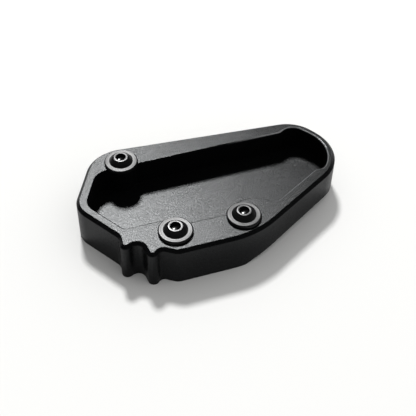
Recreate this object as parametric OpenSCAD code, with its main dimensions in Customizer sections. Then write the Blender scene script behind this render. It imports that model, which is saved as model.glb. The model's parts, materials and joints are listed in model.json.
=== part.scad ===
// Foot enlarger for a motorbike's side stand: a machined plate with a pocket for the stand's foot,
// and three screws with wide washers that clamp the foot in the pocket.
// The plate lies on z = 0. The straight back edge runs along X, and the teeth are at the front left.

/* [Plate] */
// Length of the plate, from the nose at the left to the round end at the right
body_len = 120; // [116:0.5:128]
// Width of the plate, from the front corner to the straight back edge
body_w = 68.3; // [66:0.5:76]
// Height of the plate
body_h = 19.2; // [17:0.1:26]
// Thickness left below the pocket
floor_t = 7.2; // [5:0.1:9]
// Width of the chamfer along the top outer edge
chamfer = 1; // [0.4:0.1:1.3]
// Height of the slanted cut below the right front wall
bevel_h = 4.1; // [2:0.1:5.5]
// Turn of the slanted cut against the right front wall, in degrees
bevel_turn = 1.8; // [0:0.1:3]

/* [Outline] */
// Radius of the two back corners
back_r = 17.4; // [14:0.1:20]
// Distance of the back left corner's centre from the left end
back_left_x = 23.6; // [22:0.1:26]
// Distance of the back right corner's centre from the right end
back_right_x = 19.4; // [18.5:0.1:23]
// Radius of the nose at the left end
nose_r = 11.5; // [9:0.1:14]
// Distance of the nose's centre from the back edge
nose_y = 31.4; // [30:0.1:33]
// Radius of the round right end
end_r = 21.7; // [19:0.1:24]
// Distance of the right end's centre from the back edge
end_y = 21.7; // [20:0.1:23.5]
// Radius of the front corner, beside the teeth
front_r = 5.8; // [4:0.1:7]
// Distance of the front corner's centre from the left end
front_x = 37.5; // [36.8:0.1:40]
// Radius of the wide bend between the front wall and the right front wall
bend_r = 42.6; // [35:0.1:46]
// Distance of the bend's lowest wall line from the front corner's line
bend_rise = 1.5; // [0.8:0.1:3]
// Distance of the bend's centre from the left end
bend_x = 57.1; // [54:0.1:60]

/* [Teeth] */
// Radius of the two tooth tips
tooth_r = 2.5; // [2:0.1:2.8]
// Distance of the first tooth's centre from the left end
tooth_x = 16.4; // [15.8:0.1:17]
// Distance of the first tooth's centre from the front
tooth_y = 9.9; // [9.4:0.1:10.5]
// Radius of the hollow behind the first tooth
hollow_r = 4.6; // [3.5:0.1:6]
// Direction from the first tooth to the centre of the hollow behind it, in degrees
hollow_dir = 156.5; // [152:0.5:160]
// Radius of the round notch between the teeth
notch_r = 3.4; // [2.8:0.1:3.8]
// Direction from the first tooth to the notch's centre, in degrees
notch_dir = -52; // [-56:0.5:-48]
// Direction from the notch's centre to the second tooth, in degrees
second_dir = -16.8; // [-20:0.2:-14]
// Length of the straight side of the second tooth
second_side = 2.9; // [2:0.1:3.5]
// Radius of the small hollow after the second tooth
small_r = 2.5; // [2:0.1:3]
// Direction from the second tooth to the centre of the small hollow, in degrees
small_dir = -37.1; // [-42:0.5:-32]
// Shortest straight side between two rounds that nearly touch
short_side = 0.4; // [0.2:0.1:1]

/* [Pocket] */
// Width of the rim along the left wall
rim_left = 5.1; // [3:0.1:6.5]
// Width of the rim along the left front wall
rim_left_front = 4.6; // [3.5:0.1:6.5]
// Width of the rim along the right front wall
rim_right_front = 5.9; // [5:0.1:8]
// Width of the rim round the right end
rim_end = 3.4; // [2.4:0.1:4.5]
// Width of the rim along the slanted right wall
rim_slant = 3.9; // [3:0.1:5]
// Width of the rim behind the pocket's right end
rim_end_back = 4.5; // [3.6:0.1:5.5]
// Width of the land behind the pocket, at the middle of the plate
land_back = 10.2; // [9:0.1:11.5]
// Slope of the pocket's back wall, in degrees
back_slope = 4.8; // [4:0.1:5.5]
// Width of the land in front of the pocket, between the two front screws
land_front = 14.4; // [13.6:0.1:15]
// Radius of the pocket's nose at the left
pocket_nose_r = 7.3; // [5:0.1:9]
// Radius of the pocket's back left corner
pocket_back_r = 7.5; // [5:0.1:9]
// Radius of the pocket's left front corner
pocket_front_r = 2.3; // [1.5:0.1:4]
// Smallest radius in the pocket, beside the bosses
fillet_r = 1.2; // [0.8:0.1:1.5]
// Radius of the hollow between the wide boss and the right front wall
dip_r = 4.5; // [3:0.1:6]
// Distance of the front step into the round end from the right end
step_front_x = 12.1; // [11:0.1:13.5]
// Radius on the land at the front step
step_front_r = 2.4; // [1.5:0.1:3]
// Radius of the round end's front corner
end_front_r = 5.4; // [4:0.1:6.5]
// Distance of the back step into the round end from the right end
step_back_x = 21.6; // [20.5:0.1:24]
// Radius on the land at the back step
step_back_r = 2.9; // [2:0.1:4]
// Radius of the round end's back corner
end_back_r = 6.3; // [5:0.1:7]

/* [Bosses] */
// Distance of the back left screw from the left end
screw_1_x = 23.2; // [22.5:0.1:24]
// Distance of the back left screw from the back edge
screw_1_y = 10.6; // [10:0.1:11.2]
// Distance of the front left screw from the left end
screw_2_x = 37.7; // [37:0.1:38.5]
// Distance of the front left screw from the front
screw_2_y = 11; // [10.4:0.1:11.5]
// Distance of the front right screw from the left end
screw_3_x = 67.8; // [66.5:0.1:69]
// Distance of the front right screw from the front
screw_3_y = 13; // [12.4:0.1:13.5]
// Radius of the boss round the back left screw
boss_1_r = 6.4; // [5:0.1:7]
// Radius of the boss round the front left screw
boss_2_r = 8.3; // [7.5:0.1:9]
// Radius of the wide boss beside the front right screw
boss_3_r = 12.9; // [11.5:0.1:13.5]
// Distance of the wide boss's centre to the right of its screw
boss_3_right = 5; // [4:0.1:6]
// Distance of the wide boss's centre in front of its screw
boss_3_front = 2.8; // [2:0.1:3.5]

/* [Screws and washers] */
// Outer diameter of the washers
washer_d = 15; // [13:0.1:16]
// Thickness of the washers
washer_t = 1.6; // [1.2:0.1:2.5]
// Chamfer along the washers' top edge
washer_chamfer = 0.5; // [0.2:0.1:0.7]
// Diameter of the screw thread
thread_d = 6; // [5:0.1:6.5]
// Clearance of the thread in its hole, all round
thread_gap = 0.05; // [0.02:0.01:0.1]
// Clearance of the screw in the washer, all round
washer_gap = 0.2; // [0.1:0.05:0.4]
// Length of the screws below the head
screw_len = 12; // [8:0.5:14]
// Space left below the screws' ends
hole_spare = 1.5; // [0.5:0.1:2]
// Diameter of the screw head
head_d = 10.5; // [9.5:0.1:11.5]
// Height of the screw head
head_h = 2.3; // [1.8:0.1:3.3]
// Height of the straight edge round the screw head
head_edge = 0.2; // [0.1:0.1:0.6]
// Diameter of the flat top of the screw head
head_flat_d = 6.1; // [5.6:0.1:7]
// Radius of the curve down the side of the screw head
head_curve_r = 8; // [4:0.5:12]
// Width of the hexagon recess across its flats
hex_w = 4; // [3:0.1:4.3]
// Depth of the hexagon recess
hex_depth = 1.7; // [1.2:0.1:2.4]

/* [Hidden] */
$fn = 96;

// Reach of the cutting shapes past the faces that they cut
past = 0.5;
// Step between a wall and the rounds at its ends, and the turn and the length by which they run on
seam = 0.004;
lap = 12;
run_on = 0.8;
left = -body_len / 2;
right = body_len / 2;
front = -body_w / 2;
back = body_w / 2;
ring_n = 180;
hole_depth = screw_len - washer_t + hole_spare;

screw_1 = [left + screw_1_x, back - screw_1_y];
screw_2 = [left + screw_2_x, front + screw_2_y];
screw_3 = [left + screw_3_x, front + screw_3_y];

// A round is [x, y, radius]. A negative radius is a hollow. A closed line runs round a list of rounds
// like a belt, anticlockwise, so a wall is the straight line that touches two rounds.
// A wall is [direction that it faces, distance from the origin].
function along(a) = [cos(a), sin(a)];
function centre(c) = [c[0], c[1]];
function round_at(p, r) = [p[0], p[1], r];

function wall_dir(a, b) =
    let (v = centre(b) - centre(a))
    atan2(v[1], v[0]) - acos(max(-1, min(1, (a[2] - b[2]) / norm(v))));

function wall(a, b, inset = 0) =
    let (dir = wall_dir(a, b))
    [dir, along(dir) * centre(a) + a[2] - inset];

// Round inside the corner of two walls
function corner(w1, w2, r) =
    let (k1 = w1[1] - r, k2 = w2[1] - r, turn = sin(w2[0] - w1[0]))
    [(k1 * sin(w2[0]) - k2 * sin(w1[0])) / turn, (k2 * cos(w1[0]) - k1 * cos(w2[0])) / turn, r];

// Round between a wall and a hollow that stands on it, on one side (1 or -1)
function fillet(w, hollow, r, side) =
    let (
        n = along(w[0]),
        h = w[1] - r - n * centre(hollow),
        d = sqrt(pow(r - hollow[2], 2) - h * h)
    )
    round_at(centre(hollow) + h * n + side * d * [-n[1], n[0]], r);

// Round that touches a wall at a given x
function on_wall(w, x, r) = [x, (w[1] - r - cos(w[0]) * x) / sin(w[0]), r];

// Round beside another one, in a direction, with a straight side of a given length between them
function beside(a, r, dir, side) =
    round_at(centre(a) + sqrt(pow(a[2] - r, 2) + pow(side, 2)) * along(dir), r);

// Round inside a big round, with a straight side of a given length between it and a hollow
function inside_corner(big, hollow, r, side) =
    let (
        v = centre(hollow) - centre(big),
        d = norm(v),
        from_big = big[2] - r,
        from_hollow = sqrt(pow(r - hollow[2], 2) + side * side),
        turn = acos((d * d + from_big * from_big - from_hollow * from_hollow) / (2 * d * from_big))
    )
    round_at(centre(big) + from_big * along(atan2(v[1], v[0]) + turn), r);

function before(list, i) = list[(i + len(list) - 1) % len(list)];
function after(list, i) = list[(i + 1) % len(list)];
function start_dir(list, i) = wall_dir(before(list, i), list[i]);
function end_dir(list, i) = wall_dir(list[i], after(list, i));
function touch(c, dir) = centre(c) + c[2] * along(dir);

// Directions in which a round starts and ends, with less than half a turn between them
function turn_start(list, i) = start_dir(list, i);
function turn_end(list, i) =
    let (turn = end_dir(list, i) - start_dir(list, i))
    start_dir(list, i) + turn - 360 * round(turn / 360);

// Outline of the plate
back_left = [left + back_left_x, back - back_r, back_r];
nose = [left + nose_r, back - nose_y, nose_r];
tooth_1 = [left + tooth_x, front + tooth_y, tooth_r];
hollow = beside(tooth_1, -hollow_r, hollow_dir, 2.5);
notch = beside(tooth_1, -notch_r, notch_dir, short_side);
tooth_2 = beside(notch, tooth_r, second_dir, second_side);
small_hollow = beside(tooth_2, -small_r, small_dir, short_side);
front_corner = [left + front_x, front + front_r, front_r];
bend = [left + bend_x, front + bend_rise + bend_r, bend_r];
end = [right - end_r, back - end_y, end_r];
back_right = [right - back_right_x, back - back_r, back_r];
plate = [back_left, nose, hollow, tooth_1, notch, tooth_2, small_hollow, front_corner, bend, end, back_right];

// Walls of the pocket
left_wall = wall(back_left, nose, rim_left);
left_front_wall = wall(nose, hollow, rim_left_front);
front_wall = wall(front_corner, bend, land_front);
right_front_wall = wall(bend, end, rim_right_front);
slant_wall = wall(end, back_right, rim_slant);
end_back_wall = wall(back_right, back_left, rim_end_back);
back_wall = [90 + back_slope, (back - land_back) * cos(back_slope)];

// Bosses that reach into the pocket
boss_1 = round_at(screw_1, -boss_1_r);
boss_2 = round_at(screw_2, -boss_2_r);
boss_3 = [screw_3[0] + boss_3_right, screw_3[1] - boss_3_front, -boss_3_r];
land_wall = [front_wall[0], along(front_wall[0]) * screw_2 - boss_2_r];

// Outline of the pocket
pocket_back = corner(back_wall, left_wall, pocket_back_r);
pocket_nose = corner(left_wall, left_front_wall, pocket_nose_r);
pocket_front = corner(left_front_wall, land_wall, pocket_front_r);
step_front = on_wall(right_front_wall, right - step_front_x, -step_front_r);
step_back = on_wall(back_wall, right - step_back_x, -step_back_r);
round_end = [end[0], end[1], end_r - rim_end];
end_front = inside_corner(round_end, step_front, end_front_r, short_side);
pocket = [
    pocket_back, pocket_nose, pocket_front,
    boss_2, fillet(front_wall, boss_2, fillet_r, 1), fillet(front_wall, boss_3, fillet_r, -1),
    boss_3, fillet(right_front_wall, boss_3, dip_r, 1),
    step_front, end_front, round_end, corner(slant_wall, end_back_wall, end_back_r),
    step_back, fillet(back_wall, boss_1, fillet_r, -1), boss_1, fillet(back_wall, boss_1, fillet_r, 1)
];

// Part of a disc between two directions
module sector(c, from, to) {
    reach = 2 * c[2];
    intersection() {
        translate(centre(c)) circle(c[2], $fn = ring_n);
        polygon([centre(c), for (k = [0 : 2]) centre(c) + reach * along(from + (to - from) * k / 2)]);
    }
}

// Area inside the belt round a list of rounds. The walls stand back by the seam, so that they cross the
// rounds cleanly.
module inside(list) {
    n = len(list);
    difference() {
        union() {
            polygon([for (i = [0 : n - 1], dir = [start_dir(list, i), end_dir(list, i)])
                touch(list[i], dir) - seam * along(dir)]);
            for (i = [0 : n - 1]) if (list[i][2] > 0)
                sector(list[i], turn_start(list, i) - lap, turn_end(list, i) + lap);
        }
        for (c = list) if (c[2] < 0) translate(centre(c)) circle(2 * seam - c[2], $fn = ring_n);
    }
}

// Cutters that chamfer the top edge of a belt. Each wall's cutter runs on along the bulging rounds, and
// each hollow's cutter runs on along the walls, where they cut nothing more.
module edge_cut(list, size, z) {
    n = len(list);
    low = -size - past;
    for (i = [0 : n - 1]) {
        c = list[i];
        next = after(list, i);
        dir = end_dir(list, i);
        s = sign(c[2]);
        r = s > 0 ? c[2] : 2 * seam - c[2];
        from = s > 0 ? turn_start(list, i) : turn_end(list, i) + 180 - lap;
        to = s > 0 ? turn_end(list, i) : turn_start(list, i) + 180 + lap;
        first = s > 0 ? run_on : 0;
        last = next[2] > 0 ? run_on : 0;
        here = touch(c, dir) - seam * along(dir) - first * along(dir + 90);
        there = touch(next, dir) - seam * along(dir) + last * along(dir + 90);
        translate([c[0], c[1], z]) rotate([0, 0, from]) rotate_extrude(angle = to - from, $fn = ring_n)
            polygon([[r + s * low, past], [r + s * past, low], [r + s * past, past]]);
        translate([there[0], there[1], z]) rotate([90, 0, dir]) linear_extrude(norm(there - here))
            polygon([[low, past], [past, low], [past, past]]);
    }
}

// Slanted cut below the right front wall, which gives the leaning stand its clearance
module bevel_cut() {
    w = wall(bend, end);
    middle = (touch(bend, w[0]) + touch(end, w[0])) / 2;
    big = body_len;
    translate([middle[0], middle[1], 0]) rotate([0, 0, w[0] + bevel_turn]) translate([-bevel_h, 0, 0])
        rotate([90, 0, 0]) linear_extrude(big, center = true)
            polygon([[-past, -past], [big, -past], [big, big]]);
}

module screw_hole(at) {
    translate([at[0], at[1], body_h - hole_depth]) cylinder(h = hole_depth + past, d = thread_d + 2 * thread_gap);
}

module body() {
    color("#1b1b1d") difference() {
        linear_extrude(body_h) inside(plate);
        edge_cut(plate, chamfer, body_h);
        bevel_cut();
        translate([0, 0, floor_t]) linear_extrude(body_h) inside(pocket);
        for (at = [screw_1, screw_2, screw_3]) screw_hole(at);
    }
}

module washer(at) {
    r = washer_d / 2;
    hole_r = thread_d / 2 + washer_gap;
    color("#2f2f31") translate([at[0], at[1], body_h]) rotate_extrude($fn = ring_n)
        polygon([[hole_r, 0], [r, 0], [r, washer_t - washer_chamfer], [r - washer_chamfer, washer_t],
                 [hole_r, washer_t]]);
}

// Button head screw. An arc runs from its flat top down to its straight edge.
module screw(at) {
    top = [head_flat_d / 2, head_h];
    foot = [head_d / 2, head_edge];
    chord = top - foot;
    outwards = [chord[1], -chord[0]] / norm(chord);
    curve = (top + foot) / 2 - sqrt(pow(head_curve_r, 2) - pow(norm(chord) / 2, 2)) * outwards;
    color("#2a2a2c") translate([at[0], at[1], body_h + washer_t]) difference() {
        union() {
            translate([0, 0, -screw_len]) cylinder(h = screw_len + past, d = thread_d);
            rotate_extrude($fn = ring_n) intersection() {
                square([head_d / 2, head_h]);
                translate(curve) circle(head_curve_r, $fn = ring_n);
            }
        }
        translate([0, 0, head_h - hex_depth])
            cylinder(h = hex_depth + past, r = hex_w / 2 / cos(30), $fn = 6);
    }
}

module washer_back_left() { washer(screw_1); }
module washer_front_left() { washer(screw_2); }
module washer_front_right() { washer(screw_3); }
module screw_back_left() { screw(screw_1); }
module screw_front_left() { screw(screw_2); }
module screw_front_right() { screw(screw_3); }

body();
washer_back_left();
washer_front_left();
washer_front_right();
screw_back_left();
screw_front_left();
screw_front_right();
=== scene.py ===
import json
import math

import bmesh
import bpy
from mathutils import Matrix, Vector

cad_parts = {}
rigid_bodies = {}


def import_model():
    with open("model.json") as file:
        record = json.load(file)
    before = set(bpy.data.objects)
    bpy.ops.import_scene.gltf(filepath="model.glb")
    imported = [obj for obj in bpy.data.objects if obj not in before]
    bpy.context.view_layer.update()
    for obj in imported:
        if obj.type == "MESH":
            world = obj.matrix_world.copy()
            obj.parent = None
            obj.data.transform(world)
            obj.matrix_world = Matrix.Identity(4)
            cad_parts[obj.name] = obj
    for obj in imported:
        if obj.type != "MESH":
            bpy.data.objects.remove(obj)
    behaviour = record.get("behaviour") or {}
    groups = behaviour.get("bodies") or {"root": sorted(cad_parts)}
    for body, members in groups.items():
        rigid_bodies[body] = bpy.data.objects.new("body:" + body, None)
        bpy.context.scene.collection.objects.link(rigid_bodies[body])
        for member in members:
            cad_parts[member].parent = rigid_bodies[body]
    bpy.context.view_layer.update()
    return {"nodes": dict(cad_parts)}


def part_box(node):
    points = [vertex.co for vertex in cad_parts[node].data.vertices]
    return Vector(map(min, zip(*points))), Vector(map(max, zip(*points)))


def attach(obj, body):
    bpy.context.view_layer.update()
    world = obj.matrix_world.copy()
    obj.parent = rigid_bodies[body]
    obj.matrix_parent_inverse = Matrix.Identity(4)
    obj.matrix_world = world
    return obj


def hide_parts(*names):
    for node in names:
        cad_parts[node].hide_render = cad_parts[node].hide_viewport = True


for spare in list(bpy.data.objects):
    bpy.data.objects.remove(spare)
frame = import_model()
print("stage: frame loaded")

mm = 0.001
weldGap = 0.001 * mm
screwPlaces = ("back_left", "front_left", "front_right")

# The camera stands in front and to the left, and looks down at the part.
cameraSet = {
    "place": (-0.07066, -0.25117, 0.27406),
    "heading": 15.23,
    "pitch": 45.89,
    "roll": 1.24,
    "sensor": 36.0,
    "lens": 71.85,
    "clip": (0.01, 20.0),
}
# The key hangs behind the part and draws the sheen on its top. The world fills the shadows.
keySet = {"name": "key", "from": (0.023, 0.6, 0.8), "distance": 5.0, "size": 0.75, "power": 224.0}
worldSet = {"light": 0.54, "lean": 0.6, "mirrored": 0.015, "backdrop": 0.97}
floorSet = {
    "half": 4.0,
    "fade": (0.3, 1.0),
    "colour": (0.802, 0.802, 0.79),
    "mirrored": (0.43, 0.43, 0.43),
    "roughness": 0.95,
}


def addObject(name, data):
    made = bpy.data.objects.new(name, data)
    bpy.context.scene.collection.objects.link(made)
    return made


def makeCamera(s):
    data = bpy.data.cameras.new("camera")
    data.sensor_width = s["sensor"]
    data.lens = s["lens"]
    data.clip_start, data.clip_end = s["clip"]
    camera = addObject("camera", data)
    turn = (
        Matrix.Rotation(math.radians(-s["heading"]), 4, "Z")
        @ Matrix.Rotation(math.radians(90.0 - s["pitch"]), 4, "X")
        @ Matrix.Rotation(math.radians(s["roll"]), 4, "Z")
    )
    camera.matrix_world = Matrix.Translation(s["place"]) @ turn
    bpy.context.scene.camera = camera


# Node helpers: ins holds plain values or the sockets that feed the node.
def addNode(tree, kind, ins=None, **settings):
    node = tree.nodes.new(kind)
    for name, value in settings.items():
        setattr(node, name, value)
    for name, value in (ins or {}).items():
        if isinstance(value, bpy.types.NodeSocket):
            tree.links.new(value, node.inputs[name])
        else:
            node.inputs[name].default_value = value
    return node


def maths(tree, operation, a, b=0.0):
    node = addNode(tree, "ShaderNodeMath", operation=operation)
    for socket, value in zip(node.inputs, (a, b)):
        if isinstance(value, bpy.types.NodeSocket):
            tree.links.new(value, socket)
        else:
            socket.default_value = value
    return node.outputs["Value"]


def remap(tree, value, low, high, newLow, newHigh):
    return addNode(
        tree,
        "ShaderNodeMapRange",
        {"Value": value, "From Min": low, "From Max": high, "To Min": newLow, "To Max": newHigh},
    ).outputs["Result"]


def fade(tree, value, span):
    return remap(tree, value, *span, 0.0, 1.0)


def makeLight(s):
    data = bpy.data.lights.new(s["name"], "AREA")
    data.shape = "DISK"
    data.size = s["size"]
    data.energy = s["power"]
    light = addObject(s["name"], data)
    away = Vector(s["from"]).normalized()
    light.location = away * s["distance"]
    light.rotation_euler = away.to_track_quat("Z", "Y").to_euler()


# Metal mirrors a dark room, and the camera sees the pale backdrop.
def makeWorld(s):
    world = bpy.data.worlds.new("world")
    bpy.context.scene.world = world
    world.use_nodes = True
    tree = world.node_tree
    tree.nodes.clear()
    path = addNode(tree, "ShaderNodeLightPath").outputs
    # The room is brighter on the right.
    side = addNode(tree, "ShaderNodeSeparateXYZ", {"Vector": addNode(tree, "ShaderNodeTexCoord").outputs["Object"]})
    light = remap(tree, side.outputs["X"], -1.0, 1.0, s["light"] * (1 - s["lean"]), s["light"] * (1 + s["lean"]))
    fill = addNode(tree, "ShaderNodeMix", {"Factor": path["Is Glossy Ray"], "A": light, "B": s["mirrored"]})
    level = addNode(
        tree,
        "ShaderNodeMix",
        {"Factor": path["Is Camera Ray"], "A": fill.outputs["Result"], "B": s["backdrop"]},
    )
    background = addNode(tree, "ShaderNodeBackground", {"Color": level.outputs["Result"]})
    addNode(tree, "ShaderNodeOutputWorld", {"Surface": background.outputs["Background"]})


def makeFloor(s):
    mesh = bpy.data.meshes.new("floor")
    bm = bmesh.new()
    bmesh.ops.create_grid(bm, x_segments=1, y_segments=1, size=s["half"])
    bm.to_mesh(mesh)
    bm.free()
    floor = addObject("floor", mesh)
    material = bpy.data.materials.new("paleFloor")
    material.use_nodes = True
    tree = material.node_tree
    shader = tree.nodes["Principled BSDF"]
    path = addNode(tree, "ShaderNodeLightPath").outputs
    # Metal also mirrors the floor darker than the camera sees it.
    level = addNode(
        tree,
        "ShaderNodeMix",
        {0: path["Is Glossy Ray"], 6: (*s["colour"], 1.0), 7: (*s["mirrored"], 1.0)},
        data_type="RGBA",
    )
    tree.links.new(level.outputs[2], shader.inputs["Base Color"])
    shader.inputs["Roughness"].default_value = s["roughness"]
    shader.inputs["Specular IOR Level"].default_value = 0.0
    # Far from the part the floor turns into the backdrop, so that no horizon shows.
    place = addNode(tree, "ShaderNodeTexCoord").outputs["Object"]
    away = addNode(tree, "ShaderNodeVectorMath", {0: place}, operation="LENGTH").outputs["Value"]
    far = maths(tree, "MULTIPLY", fade(tree, away, s["fade"]), path["Is Camera Ray"])
    white = addNode(tree, "ShaderNodeEmission", {"Color": (*[worldSet["backdrop"]] * 3, 1.0)})
    mixed = addNode(tree, "ShaderNodeMixShader", {0: far, 1: shader.outputs["BSDF"], 2: white.outputs["Emission"]})
    tree.links.new(mixed.outputs["Shader"], tree.nodes["Material Output"].inputs["Surface"])
    mesh.materials.append(material)


makeCamera(cameraSet)
makeLight(keySet)
makeWorld(worldSet)
makeFloor(floorSet)
bpy.context.scene.view_settings.view_transform = "Standard"
print("stage: camera, lights and floor")


def newGroup(name, ins, outs):
    group = bpy.data.node_groups.new(name, "ShaderNodeTree")
    for title, kind, value in ins:
        socket = group.interface.new_socket(title, in_out="INPUT", socket_type=kind)
        if value is not None:
            socket.default_value = value
    for title, kind in outs:
        group.interface.new_socket(title, in_out="OUTPUT", socket_type=kind)
    return group, group.nodes.new("NodeGroupInput"), group.nodes.new("NodeGroupOutput")


# Bead blasting: fine pits, a mottle that the eye sees from afar, and slow clouds, all about 0.5.
def makeBlastGroup():
    floatKind, vectorKind = "NodeSocketFloat", "NodeSocketVector"
    group, ins, outs = newGroup(
        "beadBlast",
        [
            ("Place", vectorKind, None),
            ("Pit Scale", floatKind, 3000.0),
            ("Mottle Scale", floatKind, 900.0),
            ("Cloud Scale", floatKind, 60.0),
        ],
        [("Pits", floatKind), ("Mottle", floatKind), ("Clouds", floatKind)],
    )
    grains = (
        ("Pits", "Pit Scale", 4.0, 0.75),
        ("Mottle", "Mottle Scale", 1.0, 0.5),
        ("Clouds", "Cloud Scale", 3.0, 0.6),
    )
    for title, scale, detail, rough in grains:
        noise = addNode(
            group,
            "ShaderNodeTexNoise",
            {"Vector": ins.outputs["Place"], "Scale": ins.outputs[scale], "Detail": detail, "Roughness": rough},
        )
        group.links.new(noise.outputs[0], outs.inputs[title])
    return group


# Turning marks: rings round a vertical axis through the origin of Place.
def makeTurnedGroup():
    floatKind, vectorKind = "NodeSocketFloat", "NodeSocketVector"
    group, ins, outs = newGroup(
        "turnedRings",
        [("Place", vectorKind, None), ("Ring Scale", floatKind, 9000.0)],
        [("Rings", floatKind)],
    )
    flat = addNode(group, "ShaderNodeVectorMath", {0: ins.outputs["Place"], 1: (1.0, 1.0, 0.0)}, operation="MULTIPLY")
    length = addNode(group, "ShaderNodeVectorMath", {0: flat.outputs["Vector"]}, operation="LENGTH")
    along = addNode(group, "ShaderNodeCombineXYZ", {"X": length.outputs["Value"]})
    rings = addNode(
        group,
        "ShaderNodeTexNoise",
        {"Vector": along.outputs["Vector"], "Scale": ins.outputs["Ring Scale"], "Detail": 2.0},
    )
    group.links.new(rings.outputs[0], outs.inputs["Rings"])
    return group


blastGroup = makeBlastGroup()
turnedGroup = makeTurnedGroup()


def placeGroup(tree, group, values):
    node = addNode(tree, "ShaderNodeGroup", node_tree=group)
    for name, value in values.items():
        if isinstance(value, bpy.types.NodeSocket):
            tree.links.new(value, node.inputs[name])
        else:
            node.inputs[name].default_value = value
    return node


def startMaterial(name, centre=(0.0, 0.0, 0.0)):
    material = bpy.data.materials.new(name)
    material.use_nodes = True
    tree = material.node_tree
    place = addNode(tree, "ShaderNodeTexCoord").outputs["Object"]
    moved = addNode(tree, "ShaderNodeMapping", {"Vector": place, "Location": [-v for v in centre]})
    return material, tree, tree.nodes["Principled BSDF"], moved.outputs["Vector"]


anodisedSet = {
    "colour": (0.002, 0.0022, 0.0024),
    # Lighter grey painted on the pocket's rounded rim towards the right end: a painted edge highlight, with some
    # wear.
    "wearAndSheenColour": (0.24, 0.245, 0.25),
    "tint": (0.965, 0.99, 1.0),
    "specular": 0.33,
    "roughness": 0.285,
    "mottleRoughness": 0.075,
    "cloudRoughness": 0.03,
    "pitScale": 3000.0,
    "mottleScale": 2600.0,
    "cloudScale": 45.0,
    "mottleHeight": 7.1,
    "pitDepth": 0.02 * mm,
    "pitStrength": 0.5,
    # The rim's rounded edge: heights where the smooth band and the painted highlight with wear start and end, and how
    # far that painted highlight and wear run.
    "smoothFrom": (19.1995 * mm, 19.196 * mm),
    "smoothTo": (18.65 * mm, 18.9 * mm),
    "wearAndSheenFrom": (19.196 * mm, 19.17 * mm),
    "wearAndSheenAlong": (12.0 * mm, 34.0 * mm),
    "wearAndSheenBreaks": (0.3, 0.6),
    "wearAndSheenLeast": 0.45,
    "edgeMask": (0.5, 0.9),
    "edgeRoughness": 0.5,
    "edgeGrain": 0.25,
}


# The pocket's rounded upper edge is rubbed smooth. Towards the round end lighter grey is painted on it: a painted
# edge highlight, together with the stand's foot wearing the black thin.
def rimWearAndSheen(tree, place, mottle, s):
    axes = addNode(tree, "ShaderNodeSeparateXYZ", {"Vector": place})
    edge = addNode(tree, "ShaderNodeAttribute", attribute_name="rimEdge").outputs["Fac"]
    upper = fade(tree, axes.outputs["Z"], s["smoothFrom"])
    lower = fade(tree, axes.outputs["Z"], s["smoothTo"])
    smooth = maths(tree, "MULTIPLY", maths(tree, "MULTIPLY", upper, lower), fade(tree, edge, s["edgeMask"]))
    below = fade(tree, axes.outputs["Z"], s["wearAndSheenFrom"])
    along = fade(tree, axes.outputs["X"], s["wearAndSheenAlong"])
    broken = remap(tree, mottle, *s["wearAndSheenBreaks"], s["wearAndSheenLeast"], 1.0)
    # Mask of the painted edge highlight and wear: the rim's band, fading in towards the right, broken by the mottle.
    wearAndSheen = maths(tree, "MULTIPLY", below, maths(tree, "MULTIPLY", along, broken))
    return smooth, maths(tree, "MULTIPLY", wearAndSheen, smooth)


def makeAnodised(name, s):
    material, tree, shader, place = startMaterial(name)
    scales = {"Pit Scale": s["pitScale"], "Mottle Scale": s["mottleScale"], "Cloud Scale": s["cloudScale"]}
    blast = placeGroup(tree, blastGroup, {"Place": place, **scales}).outputs
    smooth, wearAndSheen = rimWearAndSheen(tree, place, blast["Mottle"], s)

    half = s["mottleRoughness"] / 2
    mottled = remap(tree, blast["Mottle"], 0.25, 0.75, -half, half)
    half = s["cloudRoughness"] / 2
    clouded = remap(tree, blast["Clouds"], 0.3, 0.7, s["roughness"] - half, s["roughness"] + half)
    rubbed = remap(tree, smooth, 0.0, 1.0, 1.0, s["edgeRoughness"])
    rough = maths(tree, "MULTIPLY", maths(tree, "ADD", mottled, clouded), rubbed)

    pits = maths(tree, "SUBTRACT", blast["Pits"], 0.5)
    lumps = maths(tree, "MULTIPLY", maths(tree, "SUBTRACT", blast["Mottle"], 0.5), s["mottleHeight"])
    kept = remap(tree, smooth, 0.0, 1.0, 1.0, s["edgeGrain"])
    height = maths(tree, "MULTIPLY", maths(tree, "ADD", pits, lumps), kept)
    bump = addNode(
        tree,
        "ShaderNodeBump",
        {"Height": height, "Strength": s["pitStrength"], "Distance": s["pitDepth"]},
    )

    # Base colour: black, lighter grey where the painted edge highlight and wear lie.
    colours = {0: wearAndSheen, 6: (*s["colour"], 1.0), 7: (*s["wearAndSheenColour"], 1.0)}
    colour = addNode(tree, "ShaderNodeMix", colours, data_type="RGBA")
    tree.links.new(colour.outputs[2], shader.inputs["Base Color"])
    shader.inputs["Specular IOR Level"].default_value = s["specular"]
    shader.inputs["Specular Tint"].default_value = (*s["tint"], 1.0)
    tree.links.new(rough, shader.inputs["Roughness"])
    tree.links.new(bump.outputs["Normal"], shader.inputs["Normal"])
    return material


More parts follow.
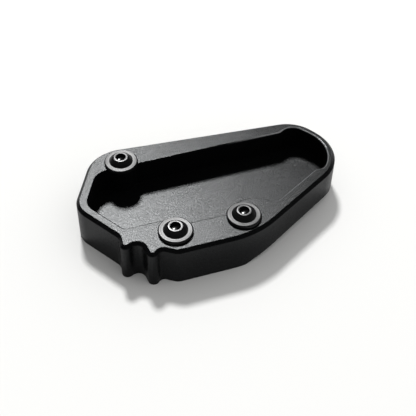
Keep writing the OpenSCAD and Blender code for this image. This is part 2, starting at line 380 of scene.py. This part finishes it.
washerSet = {
    "chamfer": 0.5 * mm,
    "edgeRound": 0.1 * mm,
    "edgeSegments": 2,
    "edgeTurn": 30.0,
    "bore": 3.2 * mm,
    "segments": 128,
    "colour": (0.004, 0.0042, 0.0045),
    "specular": 0.64,
    "roughness": (0.26, 0.42),
    "ringScale": 2200.0,
    "ringDepth": 0.15 * mm,
    "ringStrength": 0.6,
}
screwSet = {
    "headFlat": 3.12 * mm,
    "headEdge": 0.2 * mm,
    "curve": 8.0 * mm,
    "curveSteps": 10,
    "edgeRound": 0.06 * mm,
    "edgeSegments": 2,
    "edgeTurn": 28.0,
    "socketMouth": 2.35 * mm,
    "socketFlats": 2.0 * mm,
    "mouthDepth": 0.25 * mm,
    "mouthEase": 1.01,
    "mouthLip": 0.12 * mm,
    "socketDepth": 1.45 * mm,
    "bottom": 1.9 * mm,
    "dish": 5.5 * mm,
    "dishRings": 5,
    "bottomTilt": 0.2,
    "thread": 6.0 * mm,
    "threadDepth": 0.6 * mm,
    "pitch": 1.0 * mm,
    "crest": 0.15,
    "root": (0.5, 0.65),
    "segments": 96,
    "colour": (0.003, 0.003, 0.0033),
    "specular": 0.75,
    "roughness": (0.28, 0.36),
    "ringScale": 3600.0,
    "ringDepth": 0.05 * mm,
    "ringStrength": 0.6,
}
socketSet = {
    "colour": (0.002, 0.002, 0.0022),
    "specular": 0.5,
    "roughness": (0.2, 0.22),
    "ringScale": 3600.0,
    "ringDepth": 0.005 * mm,
    "ringStrength": 0.2,
}


def makeTurned(name, s, centre):
    material, tree, shader, place = startMaterial(name, centre)
    turned = placeGroup(tree, turnedGroup, {"Place": place, "Ring Scale": s["ringScale"]})
    rough = remap(tree, turned.outputs["Rings"], 0.3, 0.7, *s["roughness"])
    bump = addNode(
        tree,
        "ShaderNodeBump",
        {"Height": turned.outputs["Rings"], "Strength": s["ringStrength"], "Distance": s["ringDepth"]},
    )
    shader.inputs["Base Color"].default_value = (*s["colour"], 1.0)
    shader.inputs["Specular IOR Level"].default_value = s["specular"]
    tree.links.new(rough, shader.inputs["Roughness"])
    tree.links.new(bump.outputs["Normal"], shader.inputs["Normal"])
    return material


def finishPiece(bm, name, materials, node):
    mesh = bpy.data.meshes.new(name)
    bm.to_mesh(mesh)
    bm.free()
    for material in materials:
        mesh.materials.append(material)
    if "custom_normal" in mesh.attributes:
        mesh.attributes.remove(mesh.attributes["custom_normal"])
    mesh.shade_smooth()
    piece = addObject(name, mesh)
    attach(piece, "root")
    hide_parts(node)
    return piece


# Broad faces keep their own normals, and the narrow rounds between them blend.
# With a turn, every sharper edge is rounded. Without one, each edge's own weight says how much.
def roundEdges(piece, width, segments, turn=0.0):
    bevel = piece.modifiers.new("edgeRound", "BEVEL")
    bevel.width = width
    bevel.segments = segments
    bevel.limit_method = "ANGLE" if turn else "WEIGHT"
    bevel.angle_limit = math.radians(turn)
    bevel.use_clamp_overlap = False
    bevel.face_strength_mode = "FSTR_AFFECTED"
    flat = piece.modifiers.new("flatNormals", "WEIGHTED_NORMAL")
    flat.mode = "FACE_AREA"
    flat.weight = 100
    flat.use_face_influence = True
    return piece


# A profile of (radius, height) points is spun round a vertical axis.
def spinProfile(bm, points, centre, segments):
    verts = [bm.verts.new((centre.x + r, centre.y, centre.z + z)) for r, z in points]
    edges = [bm.edges.new(pair) for pair in zip(verts, verts[1:])]
    bmesh.ops.spin(
        bm,
        geom=verts + edges,
        cent=centre,
        axis=(0.0, 0.0, 1.0),
        angle=math.tau,
        steps=segments,
        use_merge=True,
    )


def nodeAxis(node):
    low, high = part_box(node)
    return Vector(((low[0] + high[0]) / 2, (low[1] + high[1]) / 2, low[2])), low, high


def washerProfile(s, outer, thick):
    bore, c = s["bore"], s["chamfer"]
    return [(bore, 0.0), (outer, 0.0), (outer, thick - c), (outer - c, thick), (bore, thick), (bore, 0.0)]


def makeWasher(place, s):
    node = "washer_" + place
    centre, low, high = nodeAxis(node)
    outer, thick = (high[0] - low[0]) / 2, high[2] - low[2]
    bm = bmesh.new()
    spinProfile(bm, washerProfile(s, outer, thick), centre, s["segments"])
    bmesh.ops.remove_doubles(bm, verts=bm.verts, dist=weldGap)
    bmesh.ops.recalc_face_normals(bm, faces=bm.faces)
    name = "turnedWasher_" + place
    piece = finishPiece(bm, name, [makeTurned(name, s, centre)], node)
    return roundEdges(piece, s["edgeRound"], s["edgeSegments"], s["edgeTurn"])


def headProfile(s, outer, height):
    foot, top = (outer, s["headEdge"]), (s["headFlat"], height)
    run, rise = foot[0] - top[0], top[1] - foot[1]
    half = math.hypot(run, rise) / 2
    inset = math.sqrt(s["curve"] ** 2 - half**2)
    middle = ((foot[0] + top[0]) / 2, (foot[1] + top[1]) / 2)
    centre = (middle[0] - rise / 2 / half * inset, middle[1] - run / 2 / half * inset)
    start = math.atan2(foot[1] - centre[1], foot[0] - centre[0])
    end = math.atan2(top[1] - centre[1], top[0] - centre[0])
    steps = s["curveSteps"]
    return [
        (centre[0] + s["curve"] * math.cos(a), centre[1] + s["curve"] * math.sin(a))
        for a in (start + (end - start) * i / steps for i in range(steps + 1))
    ]


def threadProfile(s, low, high):
    major, minor, pitch = s["thread"] / 2, s["thread"] / 2 - s["threadDepth"], s["pitch"]
    turns = int((high - low) / pitch)
    marks = [(major, 0.0), (major, s["crest"]), (minor, s["root"][0]), (minor, s["root"][1])]
    return [(radius, low + k * pitch + share * pitch) for k in range(turns) for radius, share in marks]


# The shank ends in a lead-in chamfer. The head's arc runs up to its flat, and the socket's mouth is countersunk.
def screwProfile(s, outer, height, shankEnd):
    major, lead = s["thread"] / 2, s["threadDepth"]
    return (
        [(0.0, shankEnd), (major - lead, shankEnd)]
        + threadProfile(s, shankEnd + lead, -s["pitch"])
        + [(major, -s["pitch"]), (major, 0.0), (outer, 0.0)]
        + headProfile(s, outer, height)
        + [(s["socketMouth"], height), (s["socketFlats"] * s["mouthEase"], height - s["mouthDepth"])]
    )


def cutSocket(bm, s, centre, height):
    rim = [edge for edge in bm.edges if edge.is_boundary]
    # The bottom is a shallow dish, a little lower on the left.
    radii = [s["bottom"] * (1 - k / s["dishRings"]) for k in range(s["dishRings"])]
    rise = [s["dish"] - math.sqrt(s["dish"] ** 2 - radius**2) for radius in radii]
    steps = [(s["mouthDepth"] + s["mouthLip"], 0.0), (s["socketDepth"], 0.0)]
    steps += [(s["socketDepth"] + rise[0] - lift, radius) for lift, radius in zip(rise, radii)]
    for depth, radius in steps:
        made = bmesh.ops.extrude_edge_only(bm, edges=rim)["geom"]
        for vert in (g for g in made if isinstance(g, bmesh.types.BMVert)):
            turn = math.atan2(vert.co.y - centre.y, vert.co.x - centre.x)
            # Six flats, with a corner to the right and one to the left.
            reach = radius or s["socketFlats"] / math.cos(turn % (math.pi / 3) - math.pi / 6)
            right = reach * math.cos(turn)
            lift = right * s["bottomTilt"] if depth >= s["socketDepth"] else 0.0
            vert.co = centre + Vector((right, reach * math.sin(turn), height - depth + lift))
        for face in (g for g in made if isinstance(g, bmesh.types.BMFace)):
            face.material_index = 1
        rim = [g for g in made if isinstance(g, bmesh.types.BMEdge) and g.is_boundary]
    bottom = bmesh.ops.contextual_create(bm, geom=rim)["faces"]
    for face in bottom:
        face.material_index = 1
    tip = bmesh.ops.poke(bm, faces=bottom)["verts"][0]
    tip.co = centre + Vector((0.0, 0.0, height - s["socketDepth"] - rise[0]))


def makeScrew(place, s):
    node = "screw_" + place
    centre, low, high = nodeAxis(node)
    centre.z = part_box("washer_" + place)[1][2]
    outer, height = (high[0] - low[0]) / 2, high[2] - centre.z
    bm = bmesh.new()
    spinProfile(bm, screwProfile(s, outer, height, low[2] - centre.z), centre, s["segments"])
    bmesh.ops.remove_doubles(bm, verts=bm.verts, dist=weldGap)
    cutSocket(bm, s, centre, height)
    bmesh.ops.recalc_face_normals(bm, faces=bm.faces)
    name = "buttonScrew_" + place
    materials = [makeTurned(name, s, centre), makeTurned("socket_" + place, socketSet, centre)]
    piece = finishPiece(bm, name, materials, node)
    return roundEdges(piece, s["edgeRound"], s["edgeSegments"], s["edgeTurn"])


bodySet = {
    "merge": 0.02 * mm,
    "flatTurn": 0.6,
    "rimRound": 0.6 * mm,
    "squareRound": 0.25 * mm,
    "chamferRound": 0.1 * mm,
    "squareTurn": 60.0,
    "chamferTurn": 24.0,
    "segments": 4,
    "hookCentre": (48.71 * mm, 4.75 * mm),
    "hookRadius": 5.4 * mm,
    "hookReach": 1.2 * mm,
    "hookFrom": 49.9 * mm,
    "hookTo": 52.6 * mm,
    "chamferSlope": (0.6, 0.8),
    "chamferMore": 0.4 * mm,
}


# The pocket's upper edge is rounded most, and the chamfers' own edges least.
def weightEdges(bm, s):
    weight = bm.edges.layers.float.new("bevel_weight_edge")
    rimEdge = bm.verts.layers.float.new("rimEdge")
    top = max(vert.co.z for vert in bm.verts)
    for edge in bm.edges:
        turn = math.degrees(edge.calc_face_angle(0.0))
        if turn < s["chamferTurn"]:
            continue
        width = s["chamferRound"]
        if turn > s["squareTurn"]:
            atTop = all(top - vert.co.z < s["merge"] for vert in edge.verts)
            width = s["rimRound"] if atTop and edge.is_convex else s["squareRound"]
        edge[weight] = width / s["rimRound"]
        if width == s["rimRound"]:
            for vert in edge.verts:
                vert[rimEdge] = 1.0


# Where the round end meets the diagonal wall the solid has a small nick. The cutter's radius fills it.
def roundHook(bm, s):
    middle, radius = Vector((*s["hookCentre"], 0.0)), s["hookRadius"]
    for vert in bm.verts:
        away = vert.co - middle
        if s["hookFrom"] < vert.co.x < s["hookTo"] and away.y < 0.0 and away.xy.length < radius + s["hookReach"]:
            vert.co.y = middle.y - math.sqrt(radius**2 - away.x**2)


# The photo's outer chamfer is wider than the solid's, inwards and downwards.
def widenChamfer(bm, s):
    top = max(vert.co.z for vert in bm.verts)
    low, high = s["chamferSlope"]
    slopes = [face for face in bm.faces if low < face.normal.z < high and face.calc_center_median().z > top / 2]
    outward = {}
    for face in slopes:
        for vert in face.verts:
            outward[vert] = outward.get(vert, Vector()) + Vector((face.normal.x, face.normal.y, 0.0))
    for vert, side in outward.items():
        if top - vert.co.z < s["merge"]:
            vert.co -= side.normalized() * s["chamferMore"]
        else:
            vert.co.z -= s["chamferMore"]


def makeBody(s):
    bm = bmesh.new()
    bm.from_mesh(frame["nodes"]["body"].data)
    bmesh.ops.remove_doubles(bm, verts=bm.verts, dist=s["merge"])
    bmesh.ops.dissolve_limit(
        bm, angle_limit=math.radians(s["flatTurn"]), verts=bm.verts, edges=bm.edges, delimit=set()
    )
    roundHook(bm, s)
    widenChamfer(bm, s)
    weightEdges(bm, s)
    piece = finishPiece(bm, "anodisedBody", [makeAnodised("blackAnodised", anodisedSet)], "body")
    return roundEdges(piece, s["rimRound"], s["segments"])


makeBody(bodySet)
print("stage: body")
for place in screwPlaces:
    makeWasher(place, washerSet)
    makeScrew(place, screwSet)
print("stage: washers and screws")
